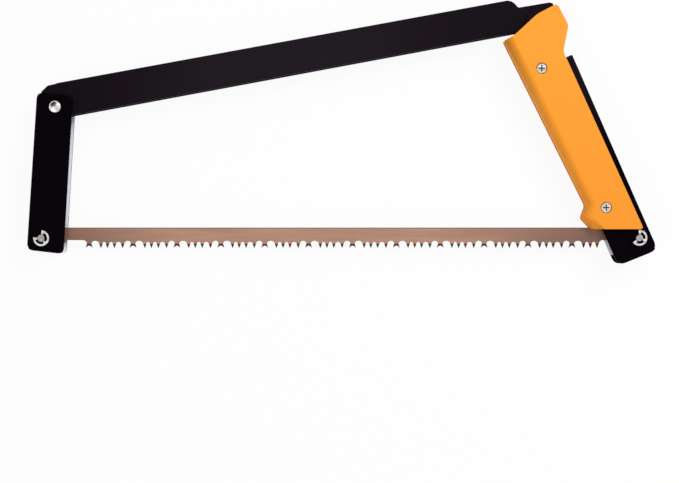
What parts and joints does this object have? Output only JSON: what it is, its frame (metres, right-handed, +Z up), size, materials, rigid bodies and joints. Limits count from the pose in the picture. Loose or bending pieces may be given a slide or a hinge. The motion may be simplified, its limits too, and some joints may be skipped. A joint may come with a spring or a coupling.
{
  "type": "folding bow saw",
  "caption": "Folding bow saw with channel spine, swinging front arm, raker-toothed blade and moulded handle on a channel core that all fold together.",
  "frame": {"origin": "centre of the bounding box at its lowest level, the saw lying flat on the far grip side", "axes": "+X along the blade towards the handle, +Y from the teeth towards the spine, +Z up through the thickness of the saw"},
  "size_m": [0.5568, 0.2336, 0.028],
  "materials": {
    "spine_coat": "satin black coat",
    "arm_coat": "satin black coat",
    "grip": "satin orange moulding",
    "blade_steel": "lengthwise ground steel",
    "hardware": "bright zinc plate",
    "spacer": "black nylon"
  },
  "bodies": {
    "spine": {"spine": "spine_coat", "arm_rivet": "hardware", "arm_pivot_bush": "spacer", "handle_pivot_pin": "hardware", "handle_pivot_bush": "spacer"},
    "front_arm": {"front_arm": "arm_coat", "front_blade_pin": "hardware", "front_clip_near": "hardware", "front_clip_far": "hardware", "front_spacer_near": "spacer", "front_spacer_far": "spacer"},
    "blade": {"blade": "blade_steel", "rear_blade_pin": "hardware", "rear_clip_near": "hardware", "rear_clip_far": "hardware", "rear_spacer_near": "spacer", "rear_spacer_far": "spacer"},
    "handle": {"rear_channel": "arm_coat", "grip_near": "grip", "grip_far": "grip", "upper_screw_near": "hardware", "upper_screw_far": "hardware", "lower_screw_near": "hardware", "lower_screw_far": "hardware"}
  },
  "joints": [
    {"name": "handle_fold", "type": "hinge", "parent": "spine", "child": "handle", "pos_m": [0.17656, 0.09775, 0.014], "axis": [0, 0, 1], "range_deg": [0, 68.29]},
    {"name": "front_arm_fold", "type": "hinge", "parent": "spine", "child": "front_arm", "pos_m": [-0.25372, 0.02227, 0.014], "axis": [0, 0, 1], "range_deg": [0, 98.05]},
    {"name": "blade_swing", "type": "hinge", "parent": "front_arm", "child": "blade", "pos_m": [-0.2659, -0.09428, 0.014], "axis": [0, 0, 1], "range_deg": [-89.22, 0]}
  ],
  "couplings": [
    {"joint": "front_arm_fold", "follows": "handle_fold", "ratio": 1.4351},
    {"joint": "blade_swing", "follows": "handle_fold", "ratio": -1.3058}
  ]
}
